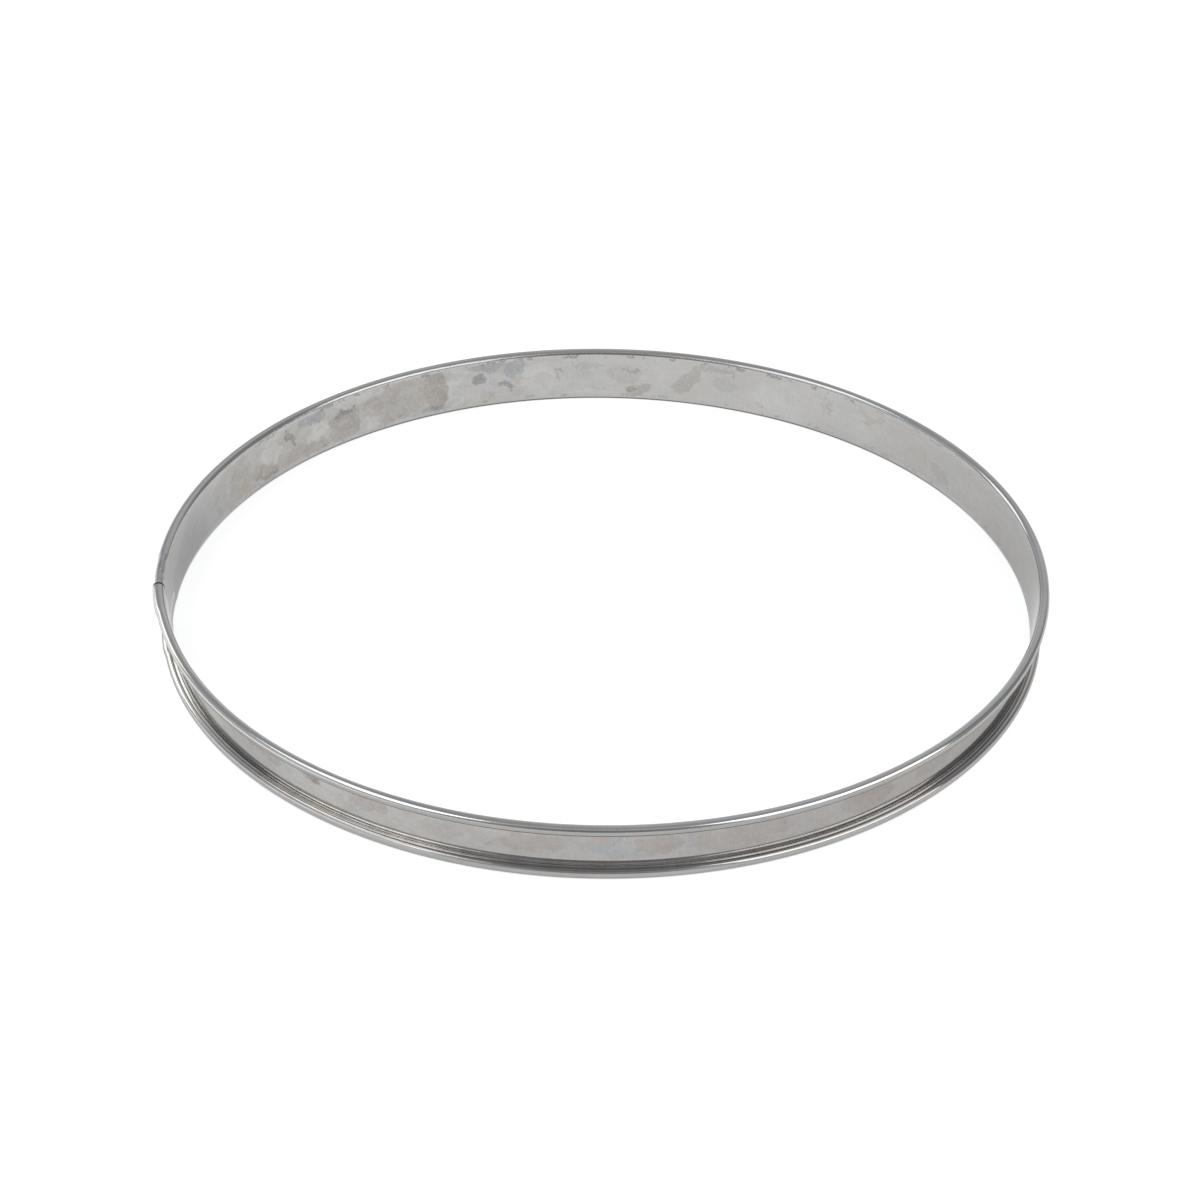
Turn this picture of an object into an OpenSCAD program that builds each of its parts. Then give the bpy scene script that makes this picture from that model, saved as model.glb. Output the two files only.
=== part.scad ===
// Tart ring: one strip of thin sheet with both edges rolled outward into hollow beads.
// The strip is bent round, and the tongue at one end sits in the sleeve at the other end.
// Origin: centre of the circle that the ring stands on. +Z up.

/* [Ring] */
// Diameter over the upper bead
ring_d = 300; // [160:1:340]
// Height over both beads
ring_h = 20; // [15:0.5:35]
// How much further out the upper bead stands than the lower one, all round
lean = 1.2; // [0:0.1:2]

/* [Rolled edges] */
// Thickness of the sheet
sheet_t = 0.5; // [0.4:0.05:0.6]
// Outer diameter of the rolled beads
bead_d = 3.5; // [3.2:0.1:4.5]
// Gap between a bead's free edge and the wall
lip_gap = 0.15; // [0.1:0.05:0.3]

/* [Lap seam] */
// Direction of the sleeve's mouth, counted from +X
seam_at = 187; // [180:1:350]
// Length of the sleeve that is opened to its full width, from its mouth
sleeve_l = 14; // [13:1:30]
// Length of the tongue inside the sleeve
tongue_in = 12; // [6:1:13]
// Length of the tongue left in view before the mouth
tongue_out = 14; // [6:1:25]
// How much narrower than the plain beads the tongue's beads are
squeeze = 0.7; // [0.5:0.05:0.75]
// Play round the tongue's beads inside the sleeve's beads
seam_play = 0.05; // [0.03:0.01:0.1]
// Depth to which the weld melts the two walls into each other
weld = 0.05; // [0.02:0.01:0.1]
// Length of each neck, where the plain strip narrows to the tongue or widens to the sleeve
neck_l = 5; // [3:1:8]

/* [Hidden] */
// Facets of a preview: round the ring, and round a bead
ring_fn = 240;
bead_fn = 48;
// Short steps that the tongue's neck is made of
tongue_steps = 6;
// Short steps that the sleeve's neck is made of, fewer as the sleeve widens far less
sleeve_steps = 2;
// Part of its own length by which a step of a neck reaches into its neighbours
step_lap = 0.1;

tongue_d = bead_d - squeeze;
sleeve_d = tongue_d + 2 * (sheet_t + seam_play);
lean_angle = atan(lean / (ring_h - bead_d));
// Radius of the wall's inner face, carried down to the floor
foot_r = ring_d / 2 - bead_d / 2 * (1 + 1 / cos(lean_angle)) - (ring_h - bead_d / 2) * tan(lean_angle);

// A form of the strip is [bead diameter, diameter of the bead that its bead is centred in, gap at
// the free edges, shift towards the axis]. The gap of the sleeve lets the tongue's wall through.
plain = [bead_d, bead_d, lip_gap, 0];
sleeve = [sleeve_d, sleeve_d, sheet_t + 2 * seam_play, 0];
tongue = [tongue_d, sleeve_d, lip_gap, seam_play + weld];

// Angle that a length along the ring takes up
function turn(l) = 360 * l / (PI * ring_d);

// Sector that reaches past radius r, from angle 0 to angle a
module sector(r, a) {
    steps = 4;
    polygon(concat([[0, 0]], [for (i = [0:steps]) 2 * r * [cos(a * i / steps), sin(a * i / steps)]]));
}

// Bead of outer diameter d: the sheet leaves the wall at -X, rolls over the top and round to a free
// edge that stops short of the wall
module curl(d, gap) {
    open_angle = acos((d / 2 - sheet_t - gap) / (d / 2));
    difference() {
        circle(d = d, $fn = bead_fn);
        circle(d = d - 2 * sheet_t, $fn = bead_fn);
        rotate(180) sector(d / 2, open_angle);
    }
}

// Section of the strip in one form, in its place on the ring: the wall leans, and has a bead at
// either edge
module strip(form) {
    d = form[0];
    seat_d = form[1];
    gap = form[2];
    wall_l = (ring_h - seat_d) / cos(lean_angle);
    centre_r = foot_r + seat_d / 2 * (tan(lean_angle) + 1 / cos(lean_angle));
    translate([centre_r, seat_d / 2]) rotate(-lean_angle) translate([-form[3], 0]) {
        translate([-d / 2, 0]) square([sheet_t, wall_l]);
        translate([0, wall_l]) curl(d, gap);
        mirror([0, 1]) curl(d, gap);
    }
}

// A section bent round the axis, from one angle to another
module bend(from, to) {
    rotate(from) rotate_extrude(angle = to - from, $fn = ring_fn) children();
}

// The strip as it changes from one form to another
module neck(from, to, form_a, form_b, steps) {
    step = (to - from) / steps;
    for (i = [0:steps - 1])
        bend(from + (i - step_lap) * step, from + (i + 1 + step_lap) * step)
            strip(form_a + (form_b - form_a) * (i + 0.5) / steps);
}

module tart_ring() {
    mouth = seam_at;
    sleeve_end = mouth + turn(sleeve_l);
    tongue_root = mouth + 360 - turn(tongue_out);
    tongue_tip = mouth + 360 + turn(tongue_in);
    color("silver") {
        bend(mouth, sleeve_end) strip(sleeve);
        neck(sleeve_end, sleeve_end + turn(neck_l), sleeve, plain, sleeve_steps);
        bend(sleeve_end + turn(neck_l), tongue_root - turn(neck_l)) strip(plain);
        neck(tongue_root - turn(neck_l), tongue_root, plain, tongue, tongue_steps);
        bend(tongue_root, tongue_tip) strip(tongue);
    }
}

tart_ring();
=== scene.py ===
"""Tart ring of thin stainless sheet, on a plain pale floor under soft studio light."""
import math
import bpy
from mathutils import Matrix, Vector


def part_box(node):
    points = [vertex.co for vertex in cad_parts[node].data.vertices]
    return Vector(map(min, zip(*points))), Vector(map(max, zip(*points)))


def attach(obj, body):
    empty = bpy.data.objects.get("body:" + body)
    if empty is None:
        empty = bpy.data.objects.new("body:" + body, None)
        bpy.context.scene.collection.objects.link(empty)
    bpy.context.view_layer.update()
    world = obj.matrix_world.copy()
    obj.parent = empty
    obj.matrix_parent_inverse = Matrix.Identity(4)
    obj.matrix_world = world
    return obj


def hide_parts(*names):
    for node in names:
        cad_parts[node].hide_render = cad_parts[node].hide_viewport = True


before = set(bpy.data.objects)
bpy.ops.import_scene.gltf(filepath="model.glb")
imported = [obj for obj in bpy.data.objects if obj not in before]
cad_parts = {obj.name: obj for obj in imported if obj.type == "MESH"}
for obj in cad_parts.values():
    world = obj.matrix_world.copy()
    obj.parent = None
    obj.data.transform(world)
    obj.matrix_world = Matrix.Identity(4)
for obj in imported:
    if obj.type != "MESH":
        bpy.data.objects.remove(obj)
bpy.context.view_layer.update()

MM = 0.001

# The ring's sizes in millimetres, as in the part's source apart from the gap at the free edges. The two
# outer ones come from the frame.
ring_low, ring_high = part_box("tart_ring")
OUTER_R = min(-ring_low.x, -ring_low.y, ring_high.x, ring_high.y) / MM
RING_H = (ring_high.z - ring_low.z) / MM
LEAN = 1.2
SHEET_T = 0.5
BEAD_D = 3.5
LIP_GAP = 0.05
SEAM_AT = 187.0
SLEEVE_L = 14.0
TONGUE_IN = 12.0
TONGUE_OUT = 14.0
SQUEEZE = 0.7
SEAM_PLAY = 0.05
NECK_L = 5.0
# The visual piece keeps a hair of room between the tongue and the sleeve
HAIR = 0.012
# Worn edge of the sheet
CHAMFER = 0.06
# How far the upper bead stands out from the true circle at the ring's two sides and at the seam, in
# millimetres, and how far the seam's part reaches to either side, in degrees
SIDE_BULGE = 0.40
SEAM_BULGE = 0.38
SEAM_BULGE_REACH = 7.0
# Waves of the hand-worked sheet: how many go round the ring, phase, change of phase from the floor to the
# top, size in millimetres
WAVES = ((5, 0.7, 0.0, 0.05), (23, 2.1, 1.3, 0.012), (61, 0.4, -2.2, 0.005))

TONGUE_D = BEAD_D - SQUEEZE
SLEEVE_D = TONGUE_D + 2 * (SHEET_T + SEAM_PLAY)
LEAN_ANGLE = math.atan(LEAN / (RING_H - BEAD_D))
FOOT_R = (OUTER_R - BEAD_D / 2 * (1 + 1 / math.cos(LEAN_ANGLE))
          - (RING_H - BEAD_D / 2) * math.tan(LEAN_ANGLE))

# A form of the strip: bead diameter, diameter of the bead it is centred in, gap at the free edges,
# shift towards the axis
PLAIN = (BEAD_D, BEAD_D, LIP_GAP, 0.0)
SLEEVE = (SLEEVE_D, SLEEVE_D, SHEET_T + 2 * SEAM_PLAY, 0.0)
TONGUE = (TONGUE_D, SLEEVE_D, LIP_GAP, SEAM_PLAY - HAIR)

# Steps of a bead's arc and of the wall, in section
ARC_STEPS = 24
WALL_STEPS = 6
# Steps along the strip in millimetres, where it is plain, in the seam and in the seam's necks
PLAIN_STEP = 1.57
SEAM_STEP = 1.0
NECK_STEP = 0.5
# Angle between two faces from which the edge between them is sharp, in degrees
SHARP_ANGLE = 35.0


def turn(length):
    """Angle in degrees that a length along the ring takes up."""
    return math.degrees(length / OUTER_R)


def smooth(t):
    t = min(max(t, 0.0), 1.0)
    return t * t * (3 - 2 * t)


def blend(form_a, form_b, t):
    return tuple(a + (b - a) * smooth(t) for a, b in zip(form_a, form_b))


# ---------------------------------------------------------------- the strip's section
def side_path(radius, lip_radius, end_angle, wall_l):
    """One face of the sheet in section, from the lower free edge up the wall to the upper one."""
    nib = CHAMFER / radius
    arc = math.pi - end_angle - nib
    angles = [end_angle + nib + arc * i / ARC_STEPS for i in range(ARC_STEPS + 1)]
    curl = [(lip_radius * math.cos(end_angle), lip_radius * math.sin(end_angle))]
    curl += [(radius * math.cos(a), radius * math.sin(a)) for a in angles]
    wall = [(-radius, wall_l * i / WALL_STEPS) for i in range(1, WALL_STEPS)]
    lower = [(x, -y) for x, y in curl]
    upper = [(x, wall_l + y) for x, y in reversed(curl)]
    return lower + wall + upper


def section(form, trim):
    """Outer and inner side of the sheet as two lists of (radius, height) in millimetres."""
    bead_d, seat_d, gap, shift = form
    wall_l = (RING_H - seat_d) / math.cos(LEAN_ANGLE)
    centre_r = FOOT_R + seat_d / 2 * (math.tan(LEAN_ANGLE) + 1 / math.cos(LEAN_ANGLE))
    end_angle = math.acos((bead_d / 2 - SHEET_T - gap) / (bead_d / 2)) - math.pi
    cos_l, sin_l = math.cos(LEAN_ANGLE), math.sin(LEAN_ANGLE)

    def place(point):
        x, y = point[0] - shift, point[1]
        return centre_r + x * cos_l + y * sin_l, seat_d / 2 - x * sin_l + y * cos_l

    outer_r = bead_d / 2 - trim
    inner_r = bead_d / 2 - SHEET_T + trim
    outer = side_path(outer_r, outer_r - CHAMFER, end_angle, wall_l)
    inner = side_path(inner_r, inner_r + CHAMFER, end_angle, wall_l)
    return [place(p) for p in outer], [place(p) for p in inner]


def unevenness(angle, height):
    """How far the hand-worked sheet stands in from the true circle, in millimetres."""
    a = math.radians(angle)
    share = height / RING_H
    inward = sum((0.5 + 0.5 * math.sin(count * a + phase + change * share)) * size
                 for count, phase, change, size in WAVES)
    # The upper bead stands out a little at the ring's two sides, and again at the stiff lap seam
    inward -= SIDE_BULGE * math.cos(a) ** 2 * share
    from_seam = (angle - SEAM_AT + 180) % 360 - 180
    inward -= SEAM_BULGE * math.exp(-(from_seam / SEAM_BULGE_REACH) ** 2) * share
    return inward


def stations():
    """(angle, form, trim) all along the strip, from the sleeve's mouth round to the tongue's tip."""
    length = 2 * math.pi * OUTER_R
    plain_start = SLEEVE_L + NECK_L
    plain_end = length - TONGUE_OUT - NECK_L
    tongue_start = length - TONGUE_OUT
    tip = length + TONGUE_IN
    # Where each stretch of the strip ends, and the length of its steps
    stretches = ((SLEEVE_L, SEAM_STEP), (plain_start, NECK_STEP), (plain_end, PLAIN_STEP),
                 (tongue_start, NECK_STEP), (tip - CHAMFER, SEAM_STEP))
    places = [(0.0, CHAMFER), (CHAMFER, 0.0)]
    start = CHAMFER
    for end, step in stretches:
        n = round((end - start) / step)
        places += [(start + (end - start) * i / n, 0.0) for i in range(1, n + 1)]
        start = end
    places.append((tip, CHAMFER))
    found = []
    for s, trim in places:
        if s < length / 2:
            form = blend(SLEEVE, PLAIN, (s - SLEEVE_L) / NECK_L)
        else:
            form = blend(PLAIN, TONGUE, (s - plain_end) / NECK_L)
        found.append((SEAM_AT + turn(s), form, trim))
    return found


def strip_mesh():
    """The whole strip as one closed mesh."""
    points, faces = [], []
    per_side = 2 * (ARC_STEPS + 2) + WALL_STEPS - 1
    per_loop = 2 * per_side
    rows = stations()
    for angle, form, trim in rows:
        outer, inner = section(form, trim)
        a = math.radians(angle)
        for r, z in outer + inner[::-1]:
            r -= unevenness(angle, z)
            points.append((r * math.cos(a) * MM, r * math.sin(a) * MM, z * MM))
    for i in range(len(rows) - 1):
        for j in range(per_loop):
            k = (j + 1) % per_loop
            here, there = i * per_loop, (i + 1) * per_loop
            faces.append((here + j, there + j, there + k, here + k))
    last = (len(rows) - 1) * per_loop
    for j in range(per_side - 1):
        opposite = per_loop - 1 - j
        faces.append((j, j + 1, opposite - 1, opposite))
        faces.append((last + j, last + opposite, last + opposite - 1, last + j + 1))
    mesh = bpy.data.meshes.new("rolled_strip")
    mesh.from_pydata(points, [], faces)
    mesh.validate()
    mesh.polygons.foreach_set("use_smooth", [True] * len(mesh.polygons))
    mesh.set_sharp_from_angle(angle=math.radians(SHARP_ANGLE))
    return mesh


# ---------------------------------------------------------------- materials
class Graph:
    """Short calls for the nodes of one tree."""

    def __init__(self, tree):
        self.tree = tree
        tree.nodes.clear()

    def node(self, kind, inputs=None, **settings):
        made = self.tree.nodes.new(kind)
        for name, value in settings.items():
            setattr(made, name, value)
        for key, value in (inputs or {}).items():
            self.feed(made.inputs[key], value)
        return made

    def feed(self, socket, value):
        if isinstance(value, bpy.types.NodeSocket):
            self.tree.links.new(value, socket)
        else:
            socket.default_value = value

    def math(self, operation, *values):
        return self.node("ShaderNodeMath", dict(enumerate(values)), operation=operation).outputs[0]

    def product(self, value, *factors):
        for factor in factors:
            value = self.math("MULTIPLY", value, factor)
        return value

    def plus(self, value, mask, amount):
        """The value with the amount added to it where the mask is 1."""
        return self.math("MULTIPLY_ADD", mask, amount, value)

    def distance(self, value, middle):
        return self.math("ABSOLUTE", self.math("SUBTRACT", value, middle))

    def vector_math(self, operation, *values):
        made = self.node("ShaderNodeVectorMath", dict(enumerate(values)), operation=operation)
        return made.outputs["Value" if operation in ("DOT_PRODUCT", "LENGTH") else "Vector"]

    def ramp(self, value, low, high, to_low=0.0, to_high=1.0):
        """Smooth step of value from low to high."""
        inputs = {"Value": value, "From Min": low, "From Max": high, "To Min": to_low, "To Max": to_high}
        made = self.node("ShaderNodeMapRange", inputs, interpolation_type="SMOOTHSTEP")
        return made.outputs["Result"]

    def noise(self, vector, scale, detail, roughness, distortion=0.0):
        inputs = {"Vector": vector, "Scale": scale, "Detail": detail, "Roughness": roughness,
                  "Distortion": distortion}
        return self.node("ShaderNodeTexNoise", inputs).outputs["Fac"]

    def mix(self, factor, a, b, blend_type="MIX"):
        """Mix of two colours. Its sockets are given by number, as their names are shared."""
        made = self.node("ShaderNodeMix", data_type="RGBA", blend_type=blend_type)
        self.feed(made.inputs[0], factor)
        self.feed(made.inputs[6], a)
        self.feed(made.inputs[7], b)
        return made.outputs[2]

    def surface(self, inputs):
        """The material's surface, with these inputs."""
        bsdf = self.node("ShaderNodeBsdfPrincipled", inputs)
        self.node("ShaderNodeOutputMaterial", {"Surface": bsdf.outputs[0]})


def new_material(name):
    """A material, and the short calls for its nodes."""
    material = bpy.data.materials.new(name)
    material.use_nodes = True
    return material, Graph(material.node_tree)


def grey(value):
    return (value, value, value, 1.0)


STEEL = (0.450, 0.443, 0.434, 1.0)
# Reflectance near grazing, as a share of a perfect mirror's
EDGE_TINT = (0.68, 0.68, 0.68, 1.0)
# Colours that each kind of stain multiplies the steel by, on the inner and on the outer face
INNER_TINTS = {
    "brown": (0.755, 0.722, 0.690, 1.0),
    "dark": (0.55, 0.55, 0.56, 1.0),
    "blue": (0.70, 0.75, 0.82, 1.0),
    "pale": (1.075, 1.09, 1.085, 1.0),
}
OUTER_TINTS = {
    "brown": (0.80, 0.71, 0.66, 1.0),
    "dark": (0.62, 0.61, 0.60, 1.0),
    "blue": (0.94, 0.985, 1.045, 1.0),
    "pale": (1.08, 1.09, 1.08, 1.0),
}
# Stains on the wall's inner face: direction from +X in degrees, height, half length along the ring
# and half height in millimetres, tilt in degrees, strength
INNER_STAINS = {
    "brown": (
        (153.0, 9.0, 17.0, 8.5, 0, 0.30), (136.0, 9.0, 22.0, 9.5, 0, 0.34),
        (122.0, 10.0, 14.5, 9.0, 0, 0.30), (153.5, 9.0, 7.0, 5.5, 0, 0.60),
        (147.5, 6.0, 7.0, 2.6, 10, 0.80), (141.0, 6.5, 5.0, 3.0, -20, 0.55),
        (137.0, 4.0, 6.5, 3.0, 0, 0.80), (131.5, 7.8, 6.5, 6.0, 0, 0.95),
        (122.5, 11.5, 12.0, 8.0, 0, 0.70), (115.9, 11.0, 4.6, 8.0, 0, 1.0),
        (118.5, 6.0, 3.0, 4.0, 20, 0.45), (92.4, 14.4, 6.0, 0.9, 0, 0.42),
        (93.0, 10.4, 3.0, 2.4, 0, 0.16), (87.0, 10.8, 5.6, 3.4, 10, 0.36),
        (84.6, 4.6, 4.2, 2.2, -15, 0.75), (79.2, 6.2, 1.8, 1.6, 0, 0.60),
        (77.4, 9.8, 2.6, 5.4, 34, 0.66), (73.5, 16.0, 7.0, 1.1, 0, 0.60),
        (65.8, 4.8, 2.2, 1.0, 25, 0.45), (55.6, 12.0, 0.5, 3.6, 0, 0.45),
        (54.7, 11.4, 0.5, 3.0, 0, 0.45), (46.8, 13.4, 5.2, 1.2, -24, 0.42),
        (48.6, 14.8, 2.6, 0.9, 20, 0.30), (108.0, 5.0, 2.8, 1.4, 0, 0.35),
        (33.0, 7.0, 5.0, 2.0, 10, 0.30),
    ),
    "dark": (
        (146.8, 3.6, 4.4, 1.0, 0, 0.45), (141.8, 12.6, 1.3, 3.8, -38, 0.75),
        (149.0, 5.4, 2.0, 1.2, 0, 0.35), (131.4, 12.6, 3.4, 1.4, 0, 0.35),
        (109.0, 11.5, 2.8, 1.7, 14, 0.80), (105.0, 8.5, 2.8, 1.3, 12, 0.80),
        (104.2, 6.0, 0.8, 0.5, 0, 0.55), (96.6, 12.4, 1.6, 0.55, 0, 0.55),
        (96.9, 9.4, 0.7, 2.0, -30, 0.45), (86.2, 12.4, 3.6, 0.45, 0, 0.50),
        (85.8, 4.4, 2.0, 0.8, 0, 0.40), (121.8, 3.0, 1.0, 0.6, 0, 0.45),
        (124.4, 2.6, 0.9, 0.5, 0, 0.45), (135.4, 2.8, 0.9, 0.6, 0, 0.40),
        (70.6, 14.6, 0.7, 0.5, 0, 0.40),
    ),
    "blue": (
        (137.5, 16.4, 6.0, 2.6, 0, 0.75), (131.6, 12.4, 4.2, 2.2, 0, 0.45),
        (116.2, 2.9, 5.2, 1.5, 0, 0.75), (106.8, 16.6, 8.5, 1.8, 0, 0.75),
        (103.6, 14.6, 4.2, 3.2, -8, 0.75), (71.8, 10.4, 3.6, 2.6, 0, 0.35),
        (152.2, 16.4, 3.4, 1.4, 0, 0.35),
    ),
    "pale": (
        (145.8, 11.2, 5.4, 3.4, 0, 1.0), (136.4, 9.8, 5.0, 2.8, -18, 0.8),
        (128.6, 16.2, 9.0, 2.0, 0, 0.7), (125.7, 16.2, 2.8, 1.7, 0, 0.9),
        (112.6, 9.0, 2.4, 8.0, 0, 0.7), (100.0, 9.0, 6.0, 6.0, 0, 0.5),
        (126.6, 5.6, 2.4, 4.0, 0, 0.5), (92.0, 3.0, 9.0, 1.2, 0, 0.8),
        (63.0, 9.0, 9.0, 6.0, 0, 0.5),
    ),
}
# The same on the wall's outer face
OUTER_STAINS = {
    "brown": (
        (232.5, 14.0, 3.8, 1.7, -14, 0.95), (231.0, 15.4, 2.4, 1.2, -20, 0.60),
        (225.6, 12.6, 4.4, 2.6, -20, 0.50), (222.6, 14.2, 3.0, 1.8, 0, 0.40),
        (241.5, 12.5, 6.5, 2.6, 0, 0.50), (251.0, 10.5, 7.0, 2.8, 0, 0.32),
        (262.0, 11.0, 9.0, 3.4, 0, 0.40), (277.0, 11.8, 6.5, 3.6, 0, 0.45),
        (289.0, 12.0, 10.0, 4.0, 0, 0.28), (304.0, 11.0, 9.0, 4.0, 0, 0.40),
        (315.0, 12.0, 7.0, 3.0, 0, 0.35), (211.0, 9.0, 4.0, 3.0, 0, 0.40),
    ),
    "dark": (
        (233.4, 13.2, 1.8, 0.8, -14, 0.40), (207.4, 10.0, 2.6, 3.0, 0, 0.30),
        (246.0, 14.8, 1.2, 0.5, 0, 0.40), (257.0, 9.2, 1.6, 0.6, 0, 0.30),
    ),
    "blue": (
        (271.8, 9.8, 6.6, 2.6, 0, 0.90), (268.6, 11.2, 2.2, 1.2, 0, 0.90),
        (279.8, 13.2, 4.8, 1.7, 8, 0.90), (282.4, 11.6, 1.6, 1.4, 0, 0.40),
        (266.0, 15.4, 5.0, 1.0, 0, 0.45), (228.0, 8.8, 3.6, 1.8, 0, 0.25),
    ),
    "pale": (
        (213.0, 10.0, 5.0, 4.0, 0, 0.9), (234.8, 13.2, 1.4, 1.0, 0, 0.9),
        (236.6, 10.0, 5.0, 3.0, 0, 0.4), (276.2, 14.0, 4.0, 1.0, 0, 0.4),
    ),
}
# Radius that the stains' places lie on
STAIN_R = OUTER_R - BEAD_D
# How far a stain's outline strays from an ellipse, in millimetres
STAIN_STRAY = 8.0
# Square of the distance from a stain's middle, in half sizes, from which it fades in and is full
STAIN_EDGE = (1.45, 1.15)
# How much of the brown film is gone in a pale patch
WIPED = 0.9
# Even tones on the wall's faces: direction from +X and half width in degrees, tint. Inside, the sheet is
# clean, and these tones are painted shade: darker and bluer next to the seam, and darker at the right.
INNER_PAINTED_SHADE = (
    (176, 26, (0.81, 0.82, 0.845, 1.0)),
    (28, 24, (0.90, 0.90, 0.90, 1.0)),
)
# Outside, it is paler next to the seam, and darker and a little warmer across the front
OUTER_WALL_TONES = (
    (206, 14, (1.15, 1.16, 1.14, 1.0)),
    (302, 72, (0.855, 0.84, 0.835, 1.0)),
)
# Colours that the steel's other marks multiply it by. The groove and corner tints are painted light, and
# the mouth tint is a painted shadow line.
TINTS = {
    "warm_drift": (1.01, 0.988, 0.958, 1.0),
    "cool_drift": (0.985, 1.0, 0.995, 1.0),
    "blotch": (0.925, 0.90, 0.868, 1.0),
    "clean_blotch": (1.03, 1.045, 1.03, 1.0),
    "tide_line": (0.90, 0.89, 0.87, 1.0),
    "groove": (1.36, 1.36, 1.36, 1.0),
    "corner": (1.42, 1.43, 1.46, 1.0),
    "speck": (0.70, 0.66, 0.61, 1.0),
    "dirt": (0.58, 0.56, 0.54, 1.0),
    "squeezed_dark": (0.74, 0.74, 0.73, 1.0),
    "squeezed_pale": (1.14, 1.14, 1.13, 1.0),
    "mouth": (0.10, 0.10, 0.09, 1.0),
}
# Sectors of the ring: direction from +X and half width, in degrees
STAINED_INSIDE = (128, 50)
STAINED_OUTSIDE = (258, 78)
# Sector of the front, where the beads carry painted highlight and shade bands
FRONT = (270, 80)
# Sectors where the corner beside the lower bead gets painted light
CORNER_LIGHT_SECTORS = ((272, 44), (324, 36))
# Strength of the blotches in the stained sector outside, and all round
BLOTCHES_OUTSIDE = 0.6
BLOTCHES_ALL_ROUND = 0.20
# Bands of painted highlight and painted shade on the beads' front: middle, half height and soft edge in
# millimetres, tone
PAINTED_BEAD_BANDS = (
    (3.12, 0.14, 0.10, 0.52),
    (2.60, 0.18, 0.12, 1.30),
    (1.10, 1.10, 0.25, 0.87),
    (19.46, 0.07, 0.12, 1.50),
)
# The same on the upper bead's face alone
PAINTED_FACE_BAND = (17.9, 0.75, 0.2, 0.80)
# Band of painted light in the corner between the wall and the lower bead's back: middle, half height, soft
# edge
CORNER_LIGHT_BAND = (3.2, 0.7, 0.25)
# Heights of the lines that hold dirt, where the wall turns into the upper and the lower bead
TOP_LINE = RING_H - BEAD_D * 0.62
FOOT_LINE = BEAD_D * 0.58
# Strength of the dirt, the lower line's share of it, and strength of the dried specks
DIRT = 0.70
FOOT_LINE_SHARE = 0.55
SPECKS = 0.55
# How far the dirt's noise moves the lines up and down, in millimetres
LINE_STRAY = 3.6

# In each of these pairs something is absent at the first value and full at the second, in millimetres.
# Depths from the wall's inner face: the inner side, the hollow behind the lower bead, the beads' front,
# the upper bead's face
INNER_SIDE = (0.36, 0.14)
HOLLOW = (1.5, 1.1)
BEAD_FRONT = (1.4, 1.7)
BEAD_FACE = (2.6, 2.9)
# Heights: lower and upper end of the wall, lower and upper end of the painted light in the groove beside
# the lower bead, upper end of the groove's smooth relief
WALL_STARTS = (1.9, 2.9)
WALL_ENDS = (RING_H - 2.0, RING_H - 2.9)
GROOVE_LIGHT_STARTS = (2.9, 3.3)
GROOVE_LIGHT_ENDS = (6.2, 4.6)
SMOOTH_ENDS = (7.0, 5.0)
# Distances from half height: the painted shadow line along the sleeve's mouth, the ripples at the curls
MOUTH_SHADOW_STARTS = (RING_H / 2 - 6.5, RING_H / 2 - 4.5)
RIPPLES_START = (RING_H / 2 - 4.2, RING_H / 2 - 2.0)
# Distances from a line: the painted shadow line along the mouth, the lines of dirt
MOUTH_SHADOW_LINE = (0.62, 0.496)
DIRT_LINE = (0.80, 0.25)

# How far behind the mouth the middle of its painted shadow line is
MOUTH_SHADOW_AT = 0.40
# Half lengths over which the tongue's marks start at its root and at its neck, and end at the mouth
ROOT_FADE = 1.5
NECK_FADE = 2.0
MOUTH_FADE = 0.05
# How much weaker the squeezing's marks are on the wall than on the beads
WALL_SPARED = 0.8
# Distance that keeps the noises of the two faces apart
FACES_APART = 50.0

ROUGHNESS = 0.10
# Roughness added by the blotches and by the grain, where their noise is low and where it is high
BLOTCH_ROUGHER = (-0.015, 0.02)
GRAIN_ROUGHER = (-0.01, 0.012)
# What each mark adds to the roughness
ROUGHER = {"wall": -0.01, "squeezed": 0.24, "mouth": 0.40, "corner": 0.10, "stain": 0.05, "speck": 0.10,
           "dirt": 0.16}
# Height of each kind of relief, in millimetres
RELIEF = {"grain": 0.0022, "rubbed": 0.0016, "fine": 0.0016, "waves": 0.03, "ripple": 0.010, "dirt": 0.012}
# How much flatter the relief is in the groove beside the lower bead
GROOVE_SMOOTHED = 0.85


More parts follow.
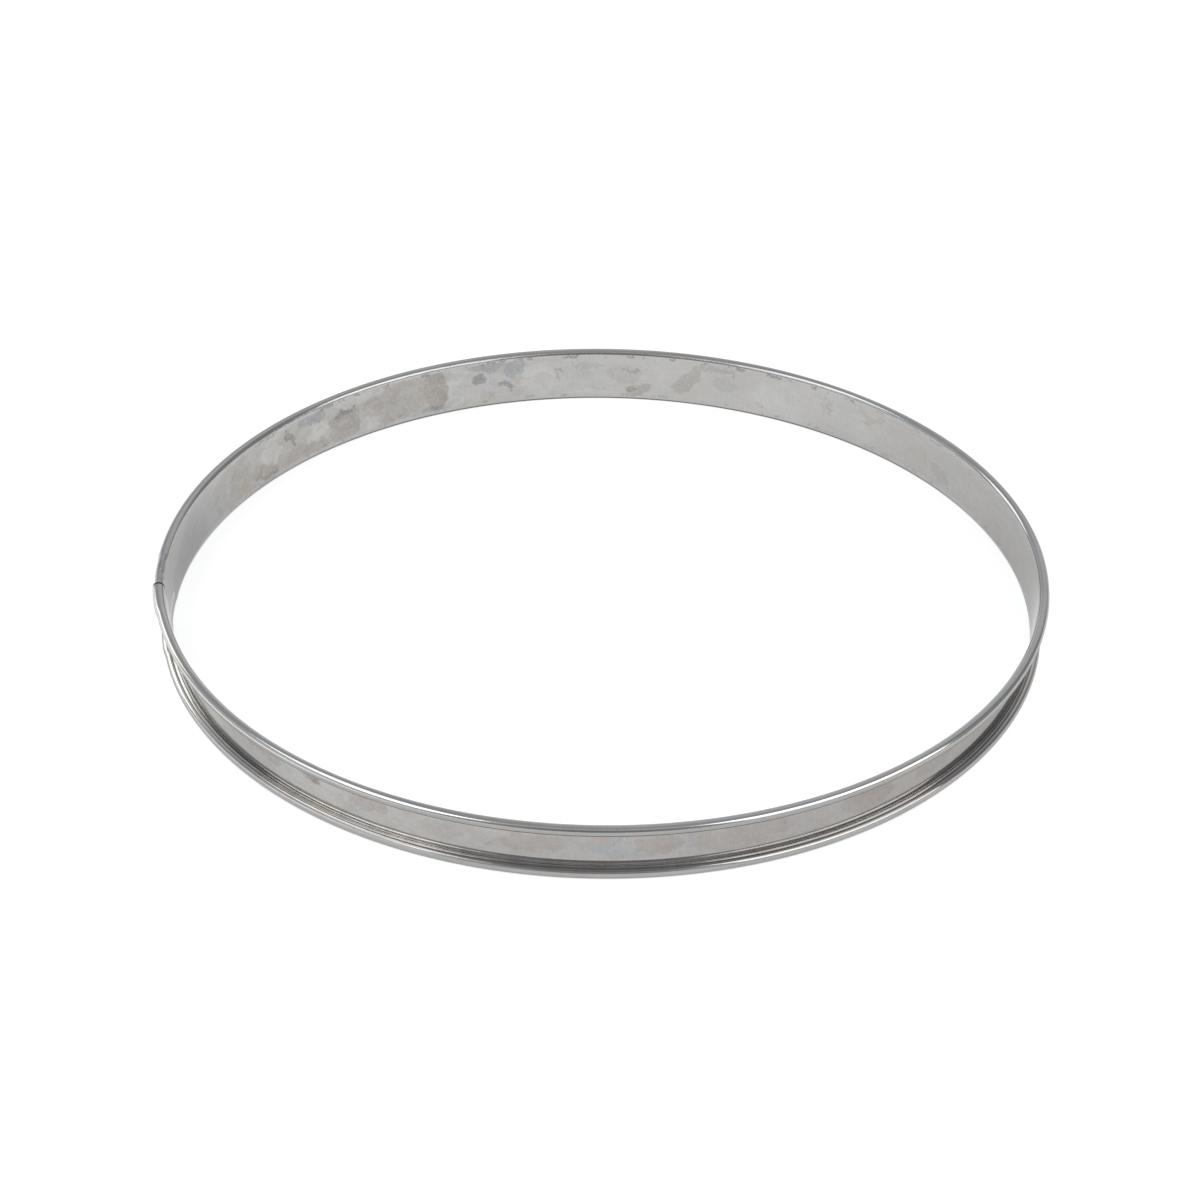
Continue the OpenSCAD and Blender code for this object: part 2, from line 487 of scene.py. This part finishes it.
class Sheet:
    """Coordinates and places on the sheet that the steel's nodes share, in millimetres."""

    def __init__(self, g):
        self.g = g
        place = g.node("ShaderNodeTexCoord").outputs["Object"]
        self.place = g.vector_math("MULTIPLY", place, (1 / MM,) * 3)
        axes = g.node("ShaderNodeSeparateXYZ", {0: self.place}).outputs
        self.height = axes["Z"]
        flat = g.vector_math("MULTIPLY", self.place, (1, 1, 0))
        self.around = g.vector_math("NORMALIZE", flat)
        # Depth of a point outward from the wall's inner face
        foot = g.math("MULTIPLY_ADD", self.height, math.tan(LEAN_ANGLE), FOOT_R)
        self.depth = g.math("SUBTRACT", g.vector_math("LENGTH", flat), foot)
        self.inner = g.ramp(self.depth, *INNER_SIDE)
        self.outer = g.math("SUBTRACT", 1.0, self.inner)
        behind = g.math("GREATER_THAN", axes["Y"], 0.0)
        self.inner_back = g.product(self.inner, behind)
        self.outer_front = g.product(self.outer, g.math("SUBTRACT", 1.0, behind))
        self.wall = g.product(g.ramp(self.height, *WALL_STARTS), g.ramp(self.height, *WALL_ENDS))
        # Distance along the ring from the sleeve's mouth, positive on the sleeve
        a = math.radians(SEAM_AT)
        at_seam = g.math("LESS_THAN", axes["X"], 0.0)
        past = g.vector_math("DOT_PRODUCT", self.place, (-math.sin(a), math.cos(a), 0))
        off_line = g.distance(past, MOUTH_SHADOW_AT)
        from_middle = g.distance(self.height, RING_H / 2)
        # Painted shadow line along the sleeve's mouth
        self.mouth = g.product(g.ramp(off_line, *MOUTH_SHADOW_LINE), at_seam,
                               g.ramp(from_middle, *MOUTH_SHADOW_STARTS))
        root, neck = -TONGUE_OUT, -TONGUE_OUT - NECK_L
        marked = g.product(at_seam, g.plus(1.0, self.wall, -WALL_SPARED),
                           g.ramp(past, MOUTH_FADE, -MOUTH_FADE))
        self.tongue = g.product(g.ramp(past, root - ROOT_FADE, root + ROOT_FADE), marked)
        self.squeezed = g.product(g.ramp(past, neck - NECK_FADE, neck + NECK_FADE), marked)

    def stretched(self, along, up):
        """Coordinates for a noise whose grain is so many times finer along the ring and upward."""
        g = self.g
        scaled = g.vector_math("MULTIPLY", self.around, (OUTER_R * along,) * 3)
        side = g.product(self.inner, FACES_APART)
        offset = g.node("ShaderNodeCombineXYZ", {"X": side, "Z": g.product(self.height, up)}).outputs[0]
        return g.vector_math("ADD", scaled, offset)

    def sector(self, azimuth, half_width):
        """1 in the middle of a sector of the ring and 0 from its edges on."""
        a = math.radians(azimuth)
        along = self.g.vector_math("DOT_PRODUCT", self.around, (math.cos(a), math.sin(a), 0))
        return self.g.ramp(along, math.cos(math.radians(half_width)), 1.0)

    def band(self, middle, half_height, edge):
        """1 within a band of heights on the outer face, fading out over its edge."""
        off = self.g.distance(self.height, middle)
        return self.g.product(self.outer, self.g.ramp(off, half_height + edge, half_height))


def tinted(g, colour, mask, tint):
    """The colour multiplied by a tint where the mask is 1."""
    return g.mix(mask, colour, g.mix(1.0, colour, tint, "MULTIPLY"))


def toned(g, colour, noise, low, high, swing):
    """The colour darkened and lightened by a share of itself, as a noise goes from low to high."""
    tone = g.ramp(noise, low, high, 1 - swing, 1 + swing)
    tone = g.node("ShaderNodeCombineColor", {0: tone, 1: tone, 2: tone}).outputs[0]
    return g.mix(1.0, colour, tone, "MULTIPLY")


def with_drifts(g, sheet, colour):
    """Broad drifts of tone and hue."""
    cloud = g.noise(sheet.stretched(1.0, 1.4), scale=0.030, detail=3, roughness=0.5)
    colour = toned(g, colour, cloud, 0.30, 0.70, swing=0.045)
    hue = g.noise(sheet.stretched(1.0, 1.2), scale=0.055, detail=3, roughness=0.6)
    colour = tinted(g, colour, g.ramp(hue, 0.50, 0.68), TINTS["warm_drift"])
    return tinted(g, colour, g.ramp(hue, 0.48, 0.32), TINTS["cool_drift"])


def with_blotches(g, sheet, colour, blotch):
    """Blotches of heat and water, with a fine line at their edge."""
    inside = g.product(sheet.sector(*STAINED_INSIDE), sheet.inner)
    outside = g.product(sheet.sector(*STAINED_OUTSIDE), g.product(sheet.outer, BLOTCHES_OUTSIDE))
    stained = g.math("MAXIMUM", g.math("MAXIMUM", inside, outside), BLOTCHES_ALL_ROUND)
    stained = g.product(stained, sheet.wall)
    edge = g.distance(blotch, 0.53)
    for mask, mark in ((g.ramp(blotch, 0.52, 0.60), "blotch"),
                       (g.ramp(blotch, 0.45, 0.36), "clean_blotch"),
                       (g.ramp(edge, 0.016, 0.003), "tide_line")):
        colour = tinted(g, colour, g.product(stained, mask), TINTS[mark])
    return colour


def strayed_place(g, place):
    """Coordinates that make an outline stray."""
    inputs = {"Vector": place, "Scale": 0.26, "Detail": 6.0, "Roughness": 0.66}
    stray = g.node("ShaderNodeTexNoise", inputs).outputs["Color"]
    centred = g.vector_math("SUBTRACT", stray, (0.5,) * 3)
    return g.vector_math("MULTIPLY_ADD", centred, (STAIN_STRAY,) * 3, place)


def stain_mask(g, place, spots):
    """How strongly one kind of stain covers a point."""
    found = None
    up = Vector((0, 0, 1))
    for azimuth, height, half_l, half_h, tilt, strength in spots:
        a, t = math.radians(azimuth), math.radians(tilt)
        middle = Vector((STAIN_R * math.cos(a), STAIN_R * math.sin(a), height))
        along = Vector((-math.sin(a), math.cos(a), 0))
        local = g.vector_math("SUBTRACT", place, middle)
        u = g.vector_math("DOT_PRODUCT", local, (along * math.cos(t) + up * math.sin(t)) / half_l)
        v = g.vector_math("DOT_PRODUCT", local, (up * math.cos(t) - along * math.sin(t)) / half_h)
        spot = g.ramp(g.plus(g.product(v, v), u, u), *STAIN_EDGE, 0.0, strength)
        found = spot if found is None else g.math("MAXIMUM", found, spot)
    return found


def with_stains(g, sheet, colour, strayed):
    """Single stains on both faces of the wall, and a mask of the brown and dark ones."""
    mottle = g.noise(sheet.place, scale=0.9, detail=4, roughness=0.65)
    mottle = g.ramp(mottle, 0.36, 0.60, 0.62, 1.0)
    dull = 0.0
    for side, stains, tints in ((sheet.inner_back, INNER_STAINS, INNER_TINTS),
                                (sheet.outer_front, OUTER_STAINS, OUTER_TINTS)):
        here = g.product(side, sheet.wall, mottle)
        masks = {kind: g.product(stain_mask(g, strayed, stains[kind]), here) for kind in tints}
        # The pale patches are where the brown film has been wiped away
        masks["brown"] = g.product(masks["brown"], g.plus(1.0, masks["pale"], -WIPED))
        dull = g.math("MAXIMUM", dull, g.math("MAXIMUM", masks["brown"], masks["dark"]))
        for kind, tint in tints.items():
            colour = tinted(g, colour, masks[kind], tint)
    return colour, dull


def with_wall_tones(g, sheet, colour):
    """Even tones that cover whole stretches of the wall; on the inner face they are painted shade."""
    for face, tones in ((sheet.inner, INNER_PAINTED_SHADE), (sheet.outer, OUTER_WALL_TONES)):
        on_wall = g.product(face, sheet.wall)
        for azimuth, half_width, tint in tones:
            colour = tinted(g, colour, g.product(sheet.sector(azimuth, half_width), on_wall), tint)
    return colour


def with_beads(g, sheet, colour):
    """Painted light and shade on and beside the beads, and a mask of the painted light in the groove's
    corner.
    """
    # Painted light: the groove beside the lower bead is lightened where the wall mirrors the bead's shaded
    # back
    groove = g.product(sheet.outer, g.ramp(sheet.height, *GROOVE_LIGHT_ENDS),
                       g.ramp(sheet.height, *GROOVE_LIGHT_STARTS))
    colour = tinted(g, colour, groove, TINTS["groove"])
    # At the front its corner, between the wall and the bead's back, gets more painted light still
    hollow = g.product(sheet.band(*CORNER_LIGHT_BAND), g.ramp(sheet.depth, *HOLLOW))
    first, second = CORNER_LIGHT_SECTORS
    corner = g.product(hollow, g.math("MAXIMUM", sheet.sector(*first), sheet.sector(*second)))
    colour = tinted(g, colour, corner, TINTS["corner"])
    # Painted highlight and painted shade in bands on the beads' front
    front = g.product(sheet.sector(*FRONT), g.ramp(sheet.depth, *BEAD_FRONT))
    for middle, half_height, edge, tone in PAINTED_BEAD_BANDS:
        band = sheet.band(middle, half_height, edge)
        colour = tinted(g, colour, g.product(front, band), grey(tone))
    middle, half_height, edge, tone = PAINTED_FACE_BAND
    face = g.product(sheet.band(middle, half_height, edge), g.ramp(sheet.depth, *BEAD_FACE))
    return tinted(g, colour, g.product(front, face), grey(tone)), corner


def speck_mask(g, place, strayed):
    """Dried specks, in some places only."""
    cells = g.node("ShaderNodeTexVoronoi", {"Vector": strayed, "Scale": 0.42}, feature="F1")
    somewhere = g.ramp(g.noise(place, scale=0.11, detail=2, roughness=0.5), 0.50, 0.60)
    return g.product(g.ramp(cells.outputs["Distance"], 0.20, 0.10), somewhere)


def dirt_mask(g, sheet):
    """Dirt inside the ring, in the sheet's lines where it turns into a bead."""
    line_noise = g.noise(sheet.stretched(1.0, 0.4), scale=0.50, detail=4, roughness=0.7)
    # The noise is a half on average, so half of the straying is taken off first
    height = g.math("SUBTRACT", sheet.height, LINE_STRAY / 2)
    height = g.plus(height, line_noise, LINE_STRAY)
    top, foot = (g.ramp(g.distance(height, line), *DIRT_LINE) for line in (TOP_LINE, FOOT_LINE))
    gathered = g.noise(sheet.stretched(1.0, 0.4), scale=0.17, detail=4, roughness=0.70)
    gathered = g.product(g.ramp(gathered, 0.52, 0.58), sheet.inner)
    return g.product(g.math("MAXIMUM", top, g.product(foot, FOOT_LINE_SHARE)), gathered)


def with_squeezing(g, sheet, colour):
    """Where the tongue's beads were squeezed they are dull and patchy; a painted shadow line darkens the
    mouth's edge.
    """
    patches = g.noise(sheet.place, scale=0.75, detail=4, roughness=0.7, distortion=0.4)
    for mask, mark in ((g.ramp(patches, 0.47, 0.56), "squeezed_dark"),
                       (g.ramp(patches, 0.44, 0.36), "squeezed_pale")):
        colour = tinted(g, colour, g.product(sheet.tongue, mask), TINTS[mark])
    # The mouth's painted shadow line
    return tinted(g, colour, sheet.mouth, TINTS["mouth"])


def bumped_normal(g, sheet, marks):
    """Normal of the sheet with its relief. It has waves of hand work and ripples at the curls too."""
    waves = g.noise(sheet.stretched(1.0, 0.8), scale=0.13, detail=2, roughness=0.4)
    ripple = g.noise(sheet.stretched(1.0, 0.3), scale=0.55, detail=3, roughness=0.6)
    from_middle = g.distance(sheet.height, RING_H / 2)
    ripple = g.product(ripple, g.ramp(from_middle, *RIPPLES_START))
    marks = {**marks, "waves": waves, "ripple": ripple}
    relief = 0.0
    for kind, height in RELIEF.items():
        relief = g.plus(relief, marks[kind], height)
    # The groove beside the lower bead is smoother than the rest
    groove = g.product(g.ramp(sheet.height, *SMOOTH_ENDS), g.ramp(sheet.depth, *HOLLOW), sheet.outer)
    relief = g.product(relief, g.plus(1.0, groove, -GROOVE_SMOOTHED))
    return g.node("ShaderNodeBump", {"Strength": 1.0, "Distance": MM, "Height": relief}).outputs[0]


def steel_material():
    material, g = new_material("stainless_sheet_worn")
    sheet = Sheet(g)
    strayed = strayed_place(g, sheet.place)

    blotch = g.noise(sheet.stretched(1.0, 1.3), scale=0.16, detail=5, roughness=0.62, distortion=0.6)
    colour = with_blotches(g, sheet, with_drifts(g, sheet, STEEL), blotch)
    colour, stain = with_stains(g, sheet, colour, strayed)
    colour, corner = with_beads(g, sheet, with_wall_tones(g, sheet, colour))

    # Fine detail: rolling grain, rubbing marks across it, dried specks
    grain = g.noise(sheet.stretched(0.10, 3.2), scale=1.0, detail=4, roughness=0.7)
    rubbed = g.noise(sheet.stretched(2.6, 0.16), scale=1.0, detail=3, roughness=0.7)
    fine = g.noise(sheet.place, scale=1.9, detail=4, roughness=0.75)
    for noise, swing in ((grain, 0.035), (rubbed, 0.035), (fine, 0.05)):
        colour = toned(g, colour, noise, 0.25, 0.75, swing)
    speck = speck_mask(g, sheet.place, strayed)
    colour = tinted(g, colour, g.product(speck, SPECKS), TINTS["speck"])
    dirt = dirt_mask(g, sheet)
    colour = tinted(g, colour, g.product(dirt, DIRT), TINTS["dirt"])
    colour = with_squeezing(g, sheet, colour)

    marks = {"wall": sheet.wall, "squeezed": sheet.squeezed, "mouth": sheet.mouth, "corner": corner,
             "stain": stain, "speck": speck, "dirt": dirt}
    roughness = ROUGHNESS
    for mark, amount in ROUGHER.items():
        roughness = g.plus(roughness, marks[mark], amount)
    for noise, added in ((blotch, BLOTCH_ROUGHER), (grain, GRAIN_ROUGHER)):
        roughness = g.math("ADD", roughness, g.ramp(noise, 0.3, 0.7, *added))

    normal = bumped_normal(g, sheet, {"grain": grain, "rubbed": rubbed, "fine": fine, "dirt": dirt})
    g.surface({"Base Color": colour, "Metallic": 1.0, "Roughness": roughness, "Specular Tint": EDGE_TINT,
               "Normal": normal})
    return material


# Light that the floor gives off by itself, as a light table does, and the floor's own grey
FLOOR_GLOW = 0.72
FLOOR_BASE = 0.46
# Half width of the strip under the bead where the floor's glow is left out as a painted contact shadow,
# and where its edge ends, in millimetres
CONTACT_SHADOW_HALF_WIDTH = 0.5
CONTACT_SHADOW_EDGE = 1.4
# The light table is brighter on the left of the ring: light added, and where that starts and is full, in
# metres
LEFT_GLOW = 0.8
LEFT_GLOW_FROM = -0.155
LEFT_GLOW_FULL = -0.200
# Half the length of the floor's sides, in metres
FLOOR_HALF = 20.0


def floor_material():
    material, g = new_material("pale_floor")
    place = g.node("ShaderNodeTexCoord").outputs["Object"]
    from_bead = g.distance(g.vector_math("LENGTH", place), (FOOT_R + BEAD_D / 2) * MM)
    # Painted contact shadow: the floor does not glow in a strip under the bead
    glow = g.ramp(from_bead, CONTACT_SHADOW_HALF_WIDTH * MM, CONTACT_SHADOW_EDGE * MM, 0.0, FLOOR_GLOW)
    across = g.node("ShaderNodeSeparateXYZ", {0: place}).outputs["X"]
    glow = g.math("ADD", glow, g.ramp(across, LEFT_GLOW_FROM, LEFT_GLOW_FULL, 0.0, LEFT_GLOW))
    g.surface({"Base Color": grey(FLOOR_BASE), "Roughness": 0.9, "Specular IOR Level": 0.0,
               "Emission Color": grey(1.0), "Emission Strength": glow})
    return material


# ---------------------------------------------------------------- stage, light and camera
def add_object(name, data):
    made = bpy.data.objects.new(name, data)
    bpy.context.scene.collection.objects.link(made)
    return made


def make_floor():
    half = FLOOR_HALF
    corners = [(-half, -half, 0), (half, -half, 0), (half, half, 0), (-half, half, 0)]
    mesh = bpy.data.meshes.new("floor")
    mesh.from_pydata(corners, [], [(0, 1, 2, 3)])
    mesh.materials.append(floor_material())
    floor = add_object("floor", mesh)


# Directions are azimuths (0 towards the camera, 90 to its right, 180 behind the ring) and elevations, in
# degrees. Brightness is relative to FLOOR_WHITE, the brightness of the lit floor.
FLOOR_WHITE = 1.05
ROOM_LEVEL = 0.51
ROOM_COLOUR = (0.965, 0.99, 1.035, 1.0)
# Softboxes: azimuth, elevation, distance, width and height in metres, brightness, roll in degrees
SOFTBOXES = {
    "softbox_left": (-64, 46, 1.10, 1.06, 0.46, 2.55, -20),
    "softbox_right": (58, 31, 1.20, 1.14, 0.76, 2.5, 0),
    "softbox_back": (-129, 17, 8.00, 2.70, 3.30, 2.5, 0),
}
# A softbox is brighter in its middle: size and share of the brightness of its two layers
SOFTBOX_LAYERS = ((1.0, 0.66), (0.55, 0.34))
# Lighter and darker parts of the room: azimuth, half width, elevation of their top, brightness added
ROOM_PATCHES = (
    (0, 32, 52, -0.19),
    (114, 34, 50, -0.16),
    (162, 34, 75, 0.22),
    (-160, 40, 28, 0.12),
    (-176, 26, 14, 0.50),
    (-92, 40, 24, 0.20),
    (-60, 30, 24, 0.28),
)
# Degrees below and above its top over which such a part fades out
PATCH_EDGE = 9.0


def direction_to(azimuth, elevation):
    a, e = math.radians(azimuth), math.radians(elevation)
    return Vector((math.sin(a) * math.cos(e), -math.cos(a) * math.cos(e), math.sin(e)))


def sine(angle):
    return math.sin(math.radians(angle))


def aimed(direction, axis, roll):
    """Rotation that turns an axis towards a direction, after a roll in degrees."""
    rolled = Matrix.Rotation(math.radians(roll), 3, "Z").to_quaternion()
    return direction.to_track_quat(axis, "Y") @ rolled


def make_world():
    """The studio round the softboxes: mid grey, with soft lighter and darker parts."""
    world = bpy.data.worlds.new("studio")
    bpy.context.scene.world = world
    world.use_nodes = True
    g = Graph(world.node_tree)
    direction = g.node("ShaderNodeTexCoord").outputs["Generated"]
    height = g.node("ShaderNodeSeparateXYZ", {0: direction}).outputs["Z"]
    flat = g.vector_math("NORMALIZE", g.vector_math("MULTIPLY", direction, (1, 1, 0)))
    level = ROOM_LEVEL
    for azimuth, half_width, top, amount in ROOM_PATCHES:
        along = g.vector_math("DOT_PRODUCT", flat, direction_to(azimuth, 0))
        side = g.ramp(along, math.cos(math.radians(half_width)), 1.0)
        below_top = g.ramp(height, sine(top + PATCH_EDGE), sine(top - PATCH_EDGE))
        level = g.plus(level, g.product(side, below_top), amount)
    level = g.product(level, FLOOR_WHITE)
    background = g.node("ShaderNodeBackground", {"Color": ROOM_COLOUR, "Strength": level})
    g.node("ShaderNodeOutputWorld", {"Surface": background.outputs[0]})


def make_softboxes():
    for name, (azimuth, elevation, distance, width, height, brightness, roll) in SOFTBOXES.items():
        aim = direction_to(azimuth, elevation)
        for size, share in SOFTBOX_LAYERS:
            data = bpy.data.lights.new(name, "AREA")
            data.shape = "RECTANGLE"
            data.size = width * size
            data.size_y = height * size
            data.energy = brightness * share * FLOOR_WHITE * math.pi * data.size * data.size_y
            box = add_object(name, data)
            box.location = aim * distance
            box.rotation_mode = "QUATERNION"
            box.rotation_quaternion = aimed(aim, "Z", roll)
            box.visible_camera = False


# The camera: distance in metres, elevation and roll in degrees, width of the sensor in millimetres
CAMERA_DISTANCE = 0.98928
CAMERA_ELEVATION = 32.91
CAMERA_ROLL = 0.63
SENSOR = 36.0
# In pixels: the image's width, the focal length, and where the ring's middle stands in the image
IMAGE = 1200.0
FOCAL_PIXELS = 2906.9
RING_CENTRE_IN_IMAGE = (602.27, 582.35)


def make_camera():
    data = bpy.data.cameras.new("camera")
    data.sensor_width = SENSOR
    data.lens = FOCAL_PIXELS * SENSOR / IMAGE
    data.shift_x = (IMAGE / 2 - RING_CENTRE_IN_IMAGE[0]) / IMAGE
    data.shift_y = (RING_CENTRE_IN_IMAGE[1] - IMAGE / 2) / IMAGE
    data.clip_start = 0.01
    data.clip_end = 100.0
    camera = add_object("camera", data)
    elevation = math.radians(CAMERA_ELEVATION)
    back = Vector((0, -math.cos(elevation), math.sin(elevation)))
    middle = Vector((0, 0, RING_H / 2 * MM))
    camera.rotation_mode = "QUATERNION"
    camera.rotation_quaternion = aimed(-back, "-Z", CAMERA_ROLL)
    camera.location = middle + back * CAMERA_DISTANCE
    bpy.context.scene.camera = camera


bpy.context.scene.view_settings.view_transform = "Standard"
ring = add_object("rolled_strip", strip_mesh())
ring.data.materials.append(steel_material())
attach(ring, "root")
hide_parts("tart_ring")
make_floor()
make_world()
make_softboxes()
make_camera()
